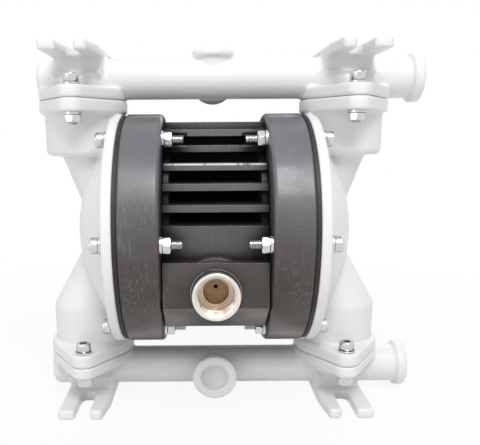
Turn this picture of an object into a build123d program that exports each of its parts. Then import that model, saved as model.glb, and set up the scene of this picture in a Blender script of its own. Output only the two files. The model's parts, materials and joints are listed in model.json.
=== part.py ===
from build123d import *
import math
import os

# Air operated double diaphragm pump, half-inch ports.
# Everything is modelled about the middle of the diaphragm shaft, which lies along X.
# The front, with the exhaust port, faces -Y. Each piece is lifted by AXIS_HEIGHT when it
# is saved, so that the pump stands on its feet at Z = 0.

# Stack along the shaft, from the middle outwards
BLOCK_HALF = 33.5  # half the width of the centre block
GASKET = 1.0
CHAMBER_DEPTH = 26.2  # thickness of an air chamber
DIAPHRAGM = 2.5
COVER_FLANGE = 7.0  # thickness of the fluid cover's round flange

# Round pieces about the shaft
DISC_R = 81.0
DIAPHRAGM_R = 80.0
BEAD_R = 64.0  # inner edge of the clamped rim of the diaphragm
DOME_R = 97.0
DOME_WALL = 7.0
DOME_FOOT_R = 66.0  # where the dome leaves the flange
BOLT_CIRCLE_R = 73.0
BOLTS_PER_SIDE = 6

# Valve towers and the manifold flanges
TOWER_X = 91.1
TOWER_R = 27.0
SPLIT_Z = 90.1  # where a manifold meets the covers, above and below the shaft
COVER_TAB = 8.8
MANIFOLD_TAB = 8.0
TAB_HALF = 30.4
TAB_TIP_R = 9.0
TAB_BOLT_Y = 39.4

# Manifold pipe and feet
PIPE_Z = 104.7
PIPE_R = 13.75
PORT_R = 9.3  # tapping drill of a half-inch pipe thread
PORT_LENGTH = 18.0
PIPE_BORE_R = 8.8
PIPE_END_WALL = 6.0
CLOSED_END = 121.0
OPEN_END = 142.9
COLLAR_R = 16.7
COLLAR_LENGTH = 7.4
STUB_RIM_R = 16.0
STUB_REACH = 29.5
STUB_RECESS_R = 9.6
STUB_RECESS = 8.0
SPARE_RIM_R = 14.6
FOOT_THICK = 6.8
AXIS_HEIGHT = 123.9  # shaft axis above the foot plane
FOOT_WIDTH = 34.0
FOOT_REACH = 56.0
SLOT_WIDTH = 10.0
SLOT_END = 34.0  # distance of the closed end of a foot slot from the pipe's plane
PRONG_CUT = 3.5
PAD_REACH = 26.0

# Centre block, seen from the side: distances towards the front
RIBS = ((67.7, 30.0), (57.4, 30.0), (46.1, 48.0), (33.7, 55.0), (20.7, 60.0))
RIB_THICK = 4.4
BLOCK_TOP = 75.0
CORE_HALF = 18.0
BACK_FIN = 30.0
BACK_PAD = 45.0
BACK_PAD_TOP = 48.0
BAND_TOP = 10.0
BAND_FRONT = 62.0
BELLY_TOP = -11.8
BELLY_FRONT = 71.0
BELLY_TURN = -41.0
BELLY_BOTTOM = -60.6
BELLY_TOE = 45.0
END_PLATE = 3.5
END_PLATE_SETBACK = 4.0

# Exhaust port
EXHAUST_Z = -31.8
BOSS_STEPS = ((23.0, 69.0), (20.5, 73.0), (17.6, 76.0))  # radius and how far forward
INSERT_R = 15.0
INSERT_FACE = 79.0
INSERT_LENGTH = 24.0
EXHAUST_THREAD = 13.0
EXHAUST_BORE_R = 7.8
LEAD_IN = 1.5

# Shaft and plates
SHAFT_R = 8.0
SHAFT_RUNNING = 0.05
BUSH_R = 11.0
BUSH_LENGTH = 14.0
SEAL_LENGTH = 5.0
STROKE = 7.5  # to either side of the middle
AIR_PLATE_R = 34.0
FLUID_PLATE_R = 32.0
AIR_PLATE_HUB = 8.0
FLUID_PLATE_HUB = 8.8
PLATE_RIM = 4.0
HUB_R = 15.0
PLATE_SCREW_R = 5.0
PLATE_HEAD_R = 8.0
PLATE_HEAD = 5.5
PLATE_SCREW_GRIP = 12.7  # thread inside the end of the shaft
CAVITY_R = 62.0
CAVITY_FLOOR_R = 40.0
CHAMBER_FLOOR = 7.5  # wall between the air chamber's cavity and the block

# Pilot pins
PIN_R = 2.5
PIN_Z = 26.0
PIN_TRAVEL = 2.5
PIN_INSIDE = 13.5
PIN_GAP = 0.3

# Check valves
BALL_R = 12.7
BALL_LIFT = 5.0
SEAT_R = 19.9
SEAT_HEIGHT = 6.5
SEAT_BORE_R = 9.3
SEAT_CHAMFER = 1.2
SEAT_GAP = 0.2
SEAT_FIT = 0.1
SEAT_SUNK = 1.5  # depth of the seat's recess in the manifold flange
CAGE_GUIDE = 0.5
CAGE_TOP = 2.7
CAGE_WINDOW = 15.0
CAGE_FOOT = 3.0
CAGE_MOUTH_R = 14.0
LEDGE_BORE_R = 9.5
SHOULDER_R = 17.0
RING_R = 1.2  # section of a seat O-ring

# Air valve on the back
VALVE_HALF = 30.5
VALVE_BASE = 10.0
VALVE_BODY_HALF = 17.0
VALVE_DEPTH = 34.0
VALVE_TOP = 40.0
VALVE_BOTTOM = -46.0
SPOOL_R = 8.93
SPOOL_BORE_R = 9.0
SPOOL_WAIST_R = 5.5
SPOOL_TRAVEL = 10.0
SPOOL_OFFSET = 14.0  # spool axis behind the gasket
SPOOL_RING_R = 1.0
CAP_THICK = 6.0
CAP_SPIGOT = 4.0
CAP_SCREW_R = 2.0
CAP_SCREW_X = 12.5
CAP_SCREW_LENGTH = 14.0
INLET_R = 9.5
INLET_BORE_R = 5.8
INLET_Z = -3.0

# M6 hardware, as in the shops
SCREW_R = 3.0
HEAD_R = 5.0
HEAD = 6.0
SOCKET_R = 2.9
SOCKET = 3.0
NUT_FLATS = 10.0
NUT = 5.2
WASHER_R = 6.0
WASHER = 1.6
HOLE_R = 3.3
THREAD_PLAY = 0.05
BODY_BOLT = 50.0
MANIFOLD_BOLT = 25.0
CHAMBER_SCREW = 16.0
VALVE_SCREW = 20.0
NUT_POCKET_R = 8.0

# Places that follow from the sizes above
chamber_back = BLOCK_HALF + GASKET
chamber_face = chamber_back + CHAMBER_DEPTH
cover_face = chamber_face + DIAPHRAGM
flange_face = cover_face + COVER_FLANGE
cavity_floor = chamber_back + CHAMBER_FLOOR
dome_centre = flange_face - math.sqrt(DOME_R**2 - DOME_FOOT_R**2)
tower_floor = SPLIT_Z + SEAT_SUNK
ball_rest = math.sqrt((BALL_R + SEAT_GAP) ** 2 - SEAT_BORE_R**2) - SEAT_CHAMFER
cage_inside = ball_rest + BALL_R + BALL_LIFT + SEAT_GAP
cage_height = cage_inside + CAGE_TOP
stack = SEAT_HEIGHT + cage_height
ledge = SPLIT_Z + SEAT_SUNK - stack
tower_bore_r = SEAT_R + SEAT_FIT
tab_top = SPLIT_Z + MANIFOLD_TAB
tab_under = SPLIT_Z - COVER_TAB
foot_top = AXIS_HEIGHT - FOOT_THICK
valve_face = BACK_PAD + GASKET
spool_y = valve_face + SPOOL_OFFSET
valve_back = valve_face + VALVE_DEPTH
plate_inner = chamber_face - AIR_PLATE_HUB
shaft_end = plate_inner
shaft_bore_r = BUSH_R + SHAFT_RUNNING
seal_start = BLOCK_HALF - SEAL_LENGTH
bush_start = seal_start - BUSH_LENGTH
pin_tip = plate_inner - STROKE - PIN_GAP
pin_start = BLOCK_HALF - PIN_INSIDE
chamber_screw_spots = ((12.0, 28.0), (24.0, -20.0))
valve_screw_spots = ((25.0, 33.0), (25.0, -39.0))


def bar_x(radius, x_from, x_to, y=0.0, z=0.0):
    """Round bar along X between two stations."""
    return Pos((x_from + x_to) / 2, y, z) * Rot(0, 90, 0) * Cylinder(radius, x_to - x_from)


def bar_y(radius, y_from, y_to, x=0.0, z=0.0):
    """Round bar along Y between two stations."""
    return Pos(x, (y_from + y_to) / 2, z) * Rot(90, 0, 0) * Cylinder(radius, y_to - y_from)


def bar_z(radius, z_from, z_to, x=0.0, y=0.0):
    """Upright round bar between two heights."""
    return Pos(x, y, (z_from + z_to) / 2) * Cylinder(radius, z_to - z_from)


def block(x_range, y_range, z_range):
    """Box between two limits in each direction."""
    limits = (x_range, y_range, z_range)
    size = [high - low for low, high in limits]
    middle = [(low + high) / 2 for low, high in limits]
    return Pos(*middle) * Box(*size)


def turned(points):
    """Solid of revolution about X from (x, radius) corners."""
    outline = Polyline(*[(x, radius) for x, radius in points], close=True)
    return revolve(make_face(outline), Axis.X)


def around(radius, count=BOLTS_PER_SIDE):
    """Places on a circle about the shaft as (y, z), the first one at the very front."""
    turns = [2 * math.pi * i / count for i in range(count)]
    return [(-radius * math.cos(a), radius * math.sin(a)) for a in turns]


def save(name, *shapes):
    """Lift the solids onto the feet and write them as one named piece."""
    solids = [s for shape in shapes for s in (Pos(0, 0, AXIS_HEIGHT) * shape).solids()]
    whole = solids[0] if len(solids) == 1 else Compound(children=solids)
    export_step(whole, f"parts/{name}.step")


def both_sides(shapes):
    """The right-hand shapes and their left-hand twins."""
    return list(shapes) + [Rot(0, 0, 180) * shape for shape in shapes]


def save_pair(name, *shapes):
    """Write a right-hand piece, and the left-hand one half a turn round from it."""
    save(f"right_{name}", *shapes)
    save(f"left_{name}", *[Rot(0, 0, 180) * shape for shape in shapes])


# Fasteners, each with the face that it bears on at the origin


def socket_screw(length, radius=SCREW_R):
    """Socket head cap screw, head upwards; its proportions follow the thread."""
    scale = radius / SCREW_R
    head = bar_z(HEAD_R * scale, 0, HEAD * scale)
    head = chamfer(head.edges().sort_by(Axis.Z)[-1], 0.6 * scale)
    socket = extrude(RegularPolygon(SOCKET_R * scale, 6), SOCKET * scale)
    return bar_z(radius, -length, 0) + head - Pos(0, 0, (HEAD - SOCKET) * scale) * socket


def hex_nut():
    """Hexagon nut that hangs down from the origin."""
    hexagon = RegularPolygon(NUT_FLATS / 2, 6, major_radius=False)
    return extrude(hexagon, -NUT) - bar_z(SCREW_R + THREAD_PLAY, -2 * NUT, NUT)


def washer():
    """Flat washer that hangs down from the origin."""
    return bar_z(WASHER_R, -WASHER, 0) - bar_z(HOLE_R, -2 * WASHER, WASHER)


# Fluid side: covers and manifolds


def tab(z_from, z_to):
    """Two-bolt flange: the hull of a round middle and a small round tip front and back."""
    rounds = [Circle(TAB_HALF)]
    rounds += [Pos(0, side * TAB_BOLT_Y) * Circle(TAB_TIP_R) for side in (-1, 1)]
    outline = make_hull([edge for part in rounds for edge in part.edges()])
    plate = extrude(outline, z_to - z_from)
    plate = fillet(plate.edges().group_by(Axis.Z)[0] + plate.edges().group_by(Axis.Z)[-1], 1.0)
    return Pos(TOWER_X, 0, z_from) * plate


def tab_holes(z_from, z_to):
    return [bar_z(HOLE_R, z_from, z_to, TOWER_X, side * TAB_BOLT_Y) for side in (-1, 1)]


def horn(*sections):
    """Tapered passage or wall through circles given as (x, z, radius)."""
    return loft([Pos(x, 0, z) * Circle(radius) for x, z, radius in sections], ruled=True)


def ball_x(radius):
    """Ball about the dome's centre, with its poles on the shaft axis."""
    return Pos(dome_centre, 0, 0) * Rot(0, 90, 0) * Sphere(radius)


def fluid_cover():
    """Moulded cover: round flange, dome, and a valve tower above and below."""
    flange = bar_x(DISC_R, cover_face, flange_face)
    flange = fillet(flange.edges().group_by(Axis.X)[-1], 1.5)
    dome = ball_x(DOME_R) & bar_x(DOME_FOOT_R + 2.0, cover_face, DOME_R + DISC_R)
    upper_foot = ledge - 4.2
    upper = bar_z(TOWER_R, upper_foot, SPLIT_Z - 1.0, TOWER_X)
    upper = fillet(upper.edges().sort_by(Axis.Z)[0], 4.0)
    lower = bar_z(TOWER_R, -SPLIT_Z + 1.0, -54.5, TOWER_X)
    neck_base = upper_foot + 2.0
    neck = horn((TOWER_X, neck_base, 17.0), (86.0, 34.0, 14.2), (80.0, 12.0, 12.0))
    cone = horn((TOWER_X, -54.5, TOWER_R), (80.0, -15.0, 16.0))
    body = flange + dome + upper + lower + neck + cone
    body += tab(tab_under, SPLIT_Z)
    body += tab(-SPLIT_Z, -tab_under)
    body -= ball_x(DOME_R - DOME_WALL) & bar_x(DISC_R, cover_face - 1.0, DOME_R)
    body -= horn((TOWER_X, ledge + 1.0, LEDGE_BORE_R), (84.0, 34.0, 9.0), (76.0, 12.0, 8.0))
    body -= horn((TOWER_X, -ledge, SHOULDER_R), (78.0, -15.0, 10.0))
    body -= bar_z(tower_bore_r, ledge, SPLIT_Z + 1.0, TOWER_X)
    body -= bar_z(tower_bore_r, -SPLIT_Z - 1.0, -ledge, TOWER_X)
    body -= [bar_x(HOLE_R, cover_face - 1.0, DOME_R, y, z) for y, z in around(BOLT_CIRCLE_R)]
    body -= tab_holes(tab_under - 1.0, SPLIT_Z + 1.0)
    body -= tab_holes(-SPLIT_Z - 1.0, -tab_under + 1.0)
    return body


def foot():
    """Foot plate over one tower: two prongs at each end with an open slot between them."""
    half = FOOT_WIDTH / 2
    gap = SLOT_WIDTH / 2
    cut_from = FOOT_REACH - 7 * PRONG_CUT
    outline = Polyline(
        (-half + PRONG_CUT, -FOOT_REACH),
        (half, -FOOT_REACH),
        (half, FOOT_REACH),
        (-half + PRONG_CUT, FOOT_REACH),
        (-half, cut_from),
        (-half, -cut_from),
        close=True,
    )
    plate = make_face(outline)
    plate = extrude(plate, FOOT_THICK)
    slot_round = SLOT_END + gap
    high = 2 * FOOT_THICK
    for side in (-1, 1):
        slot = bar_z(gap, -1.0, high, 0, side * slot_round)
        slot += block((-gap, gap), sorted((side * slot_round, side * 2 * FOOT_REACH)), (-1.0, high))
        plate -= slot
    upright = plate.edges().filter_by(Axis.Z)
    plate = fillet([e for e in upright if abs(e.center().Y) > FOOT_REACH - 0.5], 3.0)
    return Pos(TOWER_X, 0, foot_top) * fillet(plate.edges().group_by(Axis.Z)[0], 0.8)


def manifold_end():
    """What a manifold has over one tower: flange, drum, pad and foot."""
    drum = bar_z(TOWER_R - 3.0, tab_top - 1.0, PIPE_Z + 2.0, TOWER_X)
    drum = fillet(drum.edges().sort_by(Axis.Z)[-1], 5.0)
    pad_half = FOOT_WIDTH / 2 - 1.0
    pad = block(
        (TOWER_X - pad_half, TOWER_X + pad_half), (-PAD_REACH, PAD_REACH), (PIPE_Z, foot_top + 1.0)
    )
    pad = fillet(pad.edges().filter_by(Axis.X).group_by(Axis.Z)[0], 8.0)
    return drum + pad + tab(SPLIT_Z, tab_top) + foot()


def manifold():
    """The upper manifold; the lower one is the same moulding turned over about the pipe."""
    shoulder = OPEN_END - COLLAR_LENGTH
    pipe = bar_x(PIPE_R, -CLOSED_END, shoulder + 1.0, 0, PIPE_Z)
    pipe = fillet(pipe.edges().group_by(Axis.X)[0], 5.0)
    collar = bar_x(COLLAR_R, shoulder, OPEN_END, 0, PIPE_Z)
    collar = fillet(collar.edges(), 1.2)
    neck_start = PIPE_R - 5.0
    rim_start = STUB_REACH - 5.0
    stub = Pos(0, (neck_start + rim_start) / 2, PIPE_Z) * Rot(-90, 0, 0) * Cone(
        PIPE_R - 3.0, STUB_RIM_R - 1.5, rim_start - neck_start
    )
    rim = bar_y(STUB_RIM_R, rim_start, STUB_REACH, 0, PIPE_Z)
    rim = fillet(rim.edges().group_by(Axis.Y)[-1], 1.0)
    spare = bar_z(SPARE_RIM_R, PIPE_Z + PIPE_R + 0.5, AXIS_HEIGHT - 0.4)
    spare = fillet(spare.edges().group_by(Axis.Z)[-1], 1.0)
    spare += bar_z(SPARE_RIM_R - 2.5, PIPE_Z, PIPE_Z + PIPE_R + 1.0)
    ends = manifold_end()
    body = pipe + collar + stub + rim + spare + ends + mirror(ends, Plane.YZ)
    body -= bar_x(PIPE_BORE_R, -CLOSED_END + PIPE_END_WALL, OPEN_END, 0, PIPE_Z)
    body -= bar_x(PORT_R, OPEN_END - PORT_LENGTH, OPEN_END + 1.0, 0, PIPE_Z)
    body -= bar_y(STUB_RECESS_R, STUB_REACH - STUB_RECESS, STUB_REACH + 1.0, 0, PIPE_Z)
    for side in (-1, 1):
        x = side * TOWER_X
        body -= bar_z(tower_bore_r, SPLIT_Z - 1.0, SPLIT_Z + SEAT_SUNK, x)
        throat = Cone(CAGE_MOUTH_R, PIPE_BORE_R - 0.3, PIPE_Z - tower_floor)
        body -= Pos(x, 0, (PIPE_Z + tower_floor) / 2) * throat
        for y in (-TAB_BOLT_Y, TAB_BOLT_Y):
            body -= bar_z(HOLE_R, SPLIT_Z - 1.0, tab_top + 1.0, x, y)
    return body


# Check valves, each with its lowest face at the origin


def valve_seat():
    seat = bar_z(SEAT_R, 0, SEAT_HEIGHT)
    rebate = 2 * RING_R + SEAT_FIT
    seat -= bar_z(SEAT_R + 1.0, -1.0, rebate) - bar_z(tower_bore_r - rebate - SEAT_FIT, -1.0, rebate)
    seat -= bar_z(SEAT_BORE_R, -1.0, SEAT_HEIGHT + 1.0)
    mouth = SEAT_BORE_R + SEAT_CHAMFER
    seat -= Pos(0, 0, SEAT_HEIGHT - SEAT_CHAMFER / 2) * Cone(SEAT_BORE_R, mouth, SEAT_CHAMFER)
    return seat


def seat_ring():
    centre = tower_bore_r - SEAT_FIT - RING_R
    return Pos(0, 0, RING_R + SEAT_FIT / 2) * Torus(centre, RING_R)


def ball_cage():
    """Basket that guides the ball and stops its lift, open at the sides and top."""
    cage = bar_z(SEAT_R, 0, cage_height) - bar_z(BALL_R + CAGE_GUIDE, -1.0, cage_inside)
    window = Box(3 * SEAT_R, CAGE_WINDOW, cage_inside - CAGE_FOOT)
    for turn in (0, 90):
        cage -= Rot(0, 0, turn) * Pos(0, 0, (cage_inside + CAGE_FOOT) / 2) * window
    opening = bar_z(CAGE_MOUTH_R, cage_inside - 1.0, cage_height + 1.0)
    cross = Box(3 * SEAT_R, 4.0, 3 * cage_height) + Box(4.0, 3 * SEAT_R, 3 * cage_height)
    return cage - (opening - cross)


# Air side


def air_chamber():
    """Thick disc with the diaphragm's air space turned out of its outer face."""
    disc = bar_x(DISC_R, chamber_back, chamber_face)
    disc = fillet(disc.edges().group_by(Axis.X)[0], 3.0)
    disc = chamfer(disc.edges().group_by(Axis.X)[-1], 1.6)
    disc -= turned(
        (
            (cavity_floor, 0),
            (cavity_floor, CAVITY_FLOOR_R),
            (chamber_face - 3.0, CAVITY_R - 2.0),
            (chamber_face + 1.0, CAVITY_R),
            (chamber_face + 1.0, 0),
        )
    )
    disc -= bar_x(SHAFT_R + 0.5, 0, chamber_face)
    disc -= bar_x(PIN_R + 0.3, 0, chamber_face, 0, PIN_Z)
    disc -= [bar_x(HOLE_R, 0, chamber_face + 1.0, y, z) for y, z in around(BOLT_CIRCLE_R)]
    for y, z in chamber_screw_places():
        disc -= bar_x(HOLE_R, 0, chamber_face, y, z)
        disc -= bar_x(HEAD_R + 0.4, chamber_screw_seat(), chamber_face, y, z)
    return disc


def chamber_screw_places():
    return [(side * y, z) for y, z in chamber_screw_spots for side in (-1, 1)]


def chamber_screw_seat():
    return cavity_floor - HEAD + 2.0


def chamber_gasket():
    """Flat gasket between the block and the disc."""
    sheet = bar_x(34.0, BLOCK_HALF, chamber_back)
    sheet &= block((0, chamber_back + 1.0), (-30.0, 30.0), (-34.0, 40.0))
    sheet -= bar_x(shaft_bore_r, 0, chamber_back + 1.0)
    sheet -= bar_x(PIN_R + 0.3, 0, chamber_back + 1.0, 0, PIN_Z)
    sheet -= [bar_x(HOLE_R, 0, chamber_back + 1.0, y, z) for y, z in chamber_screw_places()]
    return sheet


def diaphragm():
    """Clamped rim, one rolling convolution and the flat middle between the plates."""
    fold = (BEAD_R + FLUID_PLATE_R) / 2
    sheet = bar_x(DIAPHRAGM_R, chamber_face, cover_face)
    width = BEAD_R - FLUID_PLATE_R - 5.0
    swell = 6.0
    radius = (width**2 / 4 + swell**2) / (2 * swell)
    bulge_centre = swell - radius
    ring = turned(
        ((chamber_face, fold - width / 2), (chamber_face + 20, fold - width / 2),
         (chamber_face + 20, fold + width / 2), (chamber_face, fold + width / 2))
    )
    outer = Pos(cover_face + bulge_centre, 0, 0) * Rot(0, 90, 0) * Torus(fold, radius)
    inner = Pos(chamber_face + bulge_centre, 0, 0) * Rot(0, 90, 0) * Torus(fold, radius)
    sheet += outer & ring
    sheet -= inner & ring
    sheet -= bar_x(PLATE_SCREW_R + 0.2, 0, cover_face + 1.0)
    sheet -= [bar_x(HOLE_R, 0, cover_face + 1.0, y, z) for y, z in around(BOLT_CIRCLE_R)]
    return sheet


def air_plate():
    plate = turned(
        (
            (plate_inner, 0),
            (plate_inner, HUB_R),
            (chamber_face - PLATE_RIM, AIR_PLATE_R - 1.5),
            (chamber_face - PLATE_RIM + 1.5, AIR_PLATE_R),
            (chamber_face, AIR_PLATE_R),
            (chamber_face, 0),
        )
    )
    return plate - bar_x(PLATE_SCREW_R + 0.2, 0, chamber_face + 1.0)


def fluid_plate():
    hub_face = cover_face + FLUID_PLATE_HUB
    plate = turned(
        (
            (cover_face, 0),
            (cover_face, FLUID_PLATE_R),
            (cover_face + PLATE_RIM - 1.5, FLUID_PLATE_R),
            (cover_face + PLATE_RIM, FLUID_PLATE_R - 1.5),
            (hub_face, HUB_R),
            (hub_face, 0),
        )
    )
    return plate - bar_x(PLATE_SCREW_R + 0.2, 0, hub_face + 1.0)


def plate_screw():
    """Hexagon screw through both plates and the diaphragm into the shaft's end."""
    seat = cover_face + FLUID_PLATE_HUB
    head = extrude(RegularPolygon(PLATE_HEAD_R, 6, major_radius=False), PLATE_HEAD)
    head = Pos(seat, 0, 0) * Rot(0, 90, 0) * head
    return head + bar_x(PLATE_SCREW_R, shaft_end - PLATE_SCREW_GRIP, seat)


def shaft():
    rod = bar_x(SHAFT_R, -shaft_end, shaft_end)
    rod = chamfer(rod.edges(), 0.8)
    depth = PLATE_SCREW_GRIP + 2.0
    for side in (-1, 1):
        hole = bar_x(PLATE_SCREW_R + THREAD_PLAY, shaft_end - depth, shaft_end + 1.0)
        rod -= Rot(0, 0, 90 - 90 * side) * hole
    return rod


def centre_block():
    """Core with cooling ribs over a deep lower body, and the stepped exhaust boss."""
    width = (-BLOCK_HALF, BLOCK_HALF)
    side_view = Polyline(
        (-BAND_FRONT, BAND_TOP),
        (-BAND_FRONT, BELLY_TOP),
        (-BELLY_FRONT, BELLY_TOP),
        (-BELLY_FRONT, BELLY_TURN),
        (-BELLY_TOE, BELLY_BOTTOM),
        (BACK_PAD, BELLY_BOTTOM),
        (BACK_PAD, BACK_PAD_TOP),
        (CORE_HALF, BACK_PAD_TOP),
        (CORE_HALF, BLOCK_TOP),
        (-CORE_HALF, BLOCK_TOP),
        (-CORE_HALF, BAND_TOP),
        close=True,
    )
    section = Plane.YZ.offset(-BLOCK_HALF) * make_face(side_view)
    body = extrude(section, 2 * BLOCK_HALF)
    for z, front in RIBS:
        body += block(width, (-front, BACK_FIN), (z - RIB_THICK / 2, z + RIB_THICK / 2))
    plate_view = Polyline(
        (0, BLOCK_TOP - 4.0),
        (-RIBS[0][1] + END_PLATE_SETBACK, BLOCK_TOP - 4.0),
        (-RIBS[1][1] + END_PLATE_SETBACK, RIBS[2][0] + 5.0),
        (-RIBS[2][1] + END_PLATE_SETBACK, RIBS[2][0]),
        (-RIBS[3][1] + END_PLATE_SETBACK, RIBS[3][0]),
        (-RIBS[4][1] + END_PLATE_SETBACK, BAND_TOP),
        (0, BAND_TOP),
        close=True,
    )
    for side in (-1, 1):
        start = BLOCK_HALF if side < 0 else BLOCK_HALF - END_PLATE
        start = -start if side < 0 else start
        body += extrude(Plane.YZ.offset(start) * make_face(plate_view), END_PLATE)
    for radius, front in BOSS_STEPS:
        body += bar_y(radius, -front, 0, 0, EXHAUST_Z)
    body -= bar_y(INSERT_R + THREAD_PLAY, -DISC_R, -INSERT_FACE + INSERT_LENGTH, 0, EXHAUST_Z)
    body -= bar_x(SHAFT_R + 0.5, -BLOCK_HALF - 1.0, BLOCK_HALF + 1.0)
    bolt_end = flange_face - BODY_BOLT
    for side in (-1, 1):
        half = bar_x(shaft_bore_r, bush_start, BLOCK_HALF + 1.0)
        half += bar_x(PIN_R + THREAD_PLAY, pin_start - PIN_TRAVEL - 0.5, BLOCK_HALF + 1.0, 0, PIN_Z)
        screw_depth = chamber_screw_seat() - CHAMBER_SCREW - 1.0
        for y, z in chamber_screw_places():
            half += bar_x(SCREW_R + THREAD_PLAY, screw_depth, BLOCK_HALF + 1.0, y, z)
        for y, z in around(BOLT_CIRCLE_R):
            half += bar_x(NUT_POCKET_R, bolt_end - 2.0, BLOCK_HALF + 1.0, y, z)
        body -= Rot(0, 0, 90 - 90 * side) * half
    for x, z in valve_screw_places():
        tip = valve_face + VALVE_BASE - VALVE_SCREW
        body -= bar_y(SCREW_R + THREAD_PLAY, tip - 1.0, BACK_PAD + 1.0, x, z)
    return body


def exhaust_insert():
    """Threaded metal bush with a narrower bore behind the thread and a small vent hole."""
    back = -INSERT_FACE + INSERT_LENGTH
    body = bar_y(INSERT_R, -INSERT_FACE, back, 0, EXHAUST_Z)
    body = chamfer(body.edges().group_by(Axis.Y)[0], 0.8)
    thread_end = -INSERT_FACE + EXHAUST_THREAD
    body -= bar_y(PORT_R, -INSERT_FACE - 1.0, thread_end, 0, EXHAUST_Z)
    mouth = Cone(PORT_R, PORT_R + LEAD_IN, LEAD_IN)
    body -= Pos(0, -INSERT_FACE + LEAD_IN / 2, EXHAUST_Z) * Rot(90, 0, 0) * mouth
    body -= bar_y(EXHAUST_BORE_R, thread_end - 1.0, back - 3.0, 0, EXHAUST_Z)
    body -= bar_y(1.2, back - 5.0, back + 1.0, 0, EXHAUST_Z + 4.5)
    return body


# Air valve on the back


def valve_screw_places():
    return [(side * x, z) for x, z in valve_screw_spots for side in (-1, 1)]


def valve_gasket():
    sheet = block((-VALVE_HALF, VALVE_HALF), (BACK_PAD, valve_face), (VALVE_BOTTOM, VALVE_TOP))
    sheet -= [bar_y(HOLE_R, BACK_PAD - 1.0, valve_face + 1.0, x, z) for x, z in valve_screw_places()]
    return sheet - bar_y(5.0, BACK_PAD - 1.0, valve_face + 1.0, 0, INLET_Z)


def valve_housing():
    base = block(
        (-VALVE_HALF, VALVE_HALF), (valve_face, valve_face + VALVE_BASE), (VALVE_BOTTOM, VALVE_TOP)
    )
    base = fillet(base.edges().filter_by(Axis.Y), 5.0)
    tower = block((-VALVE_BODY_HALF, VALVE_BODY_HALF), (valve_face, valve_back), (VALVE_BOTTOM, VALVE_TOP))
    tower = fillet(tower.edges().filter_by(Axis.Z).group_by(Axis.Y)[-1], 6.0)
    boss = bar_y(INLET_R + 4.5, valve_face, valve_back, 0, INLET_Z)
    body = base + tower + boss
    body -= bar_z(SPOOL_BORE_R, VALVE_BOTTOM - 1.0, VALVE_TOP + 1.0, 0, spool_y)
    body -= bar_y(INLET_R + THREAD_PLAY, spool_y + SPOOL_BORE_R, valve_back + 1.0, 0, INLET_Z)
    body -= bar_y(INLET_BORE_R - 0.8, spool_y, valve_back, 0, INLET_Z)
    for x, z in valve_screw_places():
        body -= bar_y(HOLE_R, valve_face - 1.0, valve_face + VALVE_BASE + 1.0, x, z)
    for x in (-CAP_SCREW_X, CAP_SCREW_X):
        depth = CAP_SCREW_LENGTH - CAP_THICK + 1.0
        body -= bar_z(CAP_SCREW_R + THREAD_PLAY, VALVE_TOP - depth, VALVE_TOP + 1.0, x, spool_y)
        body -= bar_z(CAP_SCREW_R + THREAD_PLAY, VALVE_BOTTOM - 1.0, VALVE_BOTTOM + depth, x, spool_y)
    return body


def end_cap():
    """Plate with a spigot that closes the spool bore, spigot downwards at the origin."""
    cap = block((-VALVE_BODY_HALF, VALVE_BODY_HALF), (-13.0, 13.0), (0, CAP_THICK))
    cap = fillet(cap.edges().filter_by(Axis.Z), 6.0)
    cap += bar_z(SPOOL_BORE_R - THREAD_PLAY, -CAP_SPIGOT, 1.0)
    return cap - [bar_z(CAP_SCREW_R + 0.3, -1.0, CAP_THICK + 1.0, x) for x in (-CAP_SCREW_X, CAP_SCREW_X)]


def spool_span():
    """Lowest and highest point of the spool as it rests on the lower cap."""
    low = VALVE_BOTTOM + CAP_SPIGOT + PIN_GAP
    high = VALVE_TOP - CAP_SPIGOT - PIN_GAP - SPOOL_TRAVEL
    return low, high


def ring_heights():
    low, high = spool_span()
    step = (high - low - 8.0) / 3
    return [low + 4.0 + i * step for i in range(4)]


def valve_spool():
    low, high = spool_span()
    spool = bar_z(SPOOL_R, low, high)
    heights = ring_heights()
    for below, above in zip(heights, heights[1:]):
        waist = bar_z(SPOOL_R + 1.0, below + 4.0, above - 4.0)
        spool -= waist - bar_z(SPOOL_WAIST_R, below, above)
    groove_r = SPOOL_R - 2 * SPOOL_RING_R - THREAD_PLAY
    for z in heights:
        groove = bar_z(SPOOL_R + 1.0, z - SPOOL_RING_R - 0.1, z + SPOOL_RING_R + 0.1)
        spool -= groove - bar_z(groove_r, z - 2.0, z + 2.0)
    return Pos(0, spool_y, 0) * spool


def spool_rings():
    centre = SPOOL_R - SPOOL_RING_R
    return [Pos(0, spool_y, z) * Torus(centre, SPOOL_RING_R) for z in ring_heights()]


def inlet_insert():
    """Quarter-inch threaded bush for the air supply."""
    start = spool_y + SPOOL_BORE_R + 0.3
    body = bar_y(INLET_R, start, valve_back + 1.0, 0, INLET_Z)
    body = chamfer(body.edges().group_by(Axis.Y)[-1], 0.6)
    body -= bar_y(INLET_BORE_R, start - 1.0, valve_back + 2.0, 0, INLET_Z)
    mouth = Cone(INLET_BORE_R + 1.0, INLET_BORE_R, 1.0)
    return body - Pos(0, valve_back + 0.5, INLET_Z) * Rot(90, 0, 0) * mouth


def along_x(piece, x, y, z):
    """Turn a fastener so that its head points outwards along +X, and put it in place."""
    return Pos(x, y, z) * Rot(0, 90, 0) * piece


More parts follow.
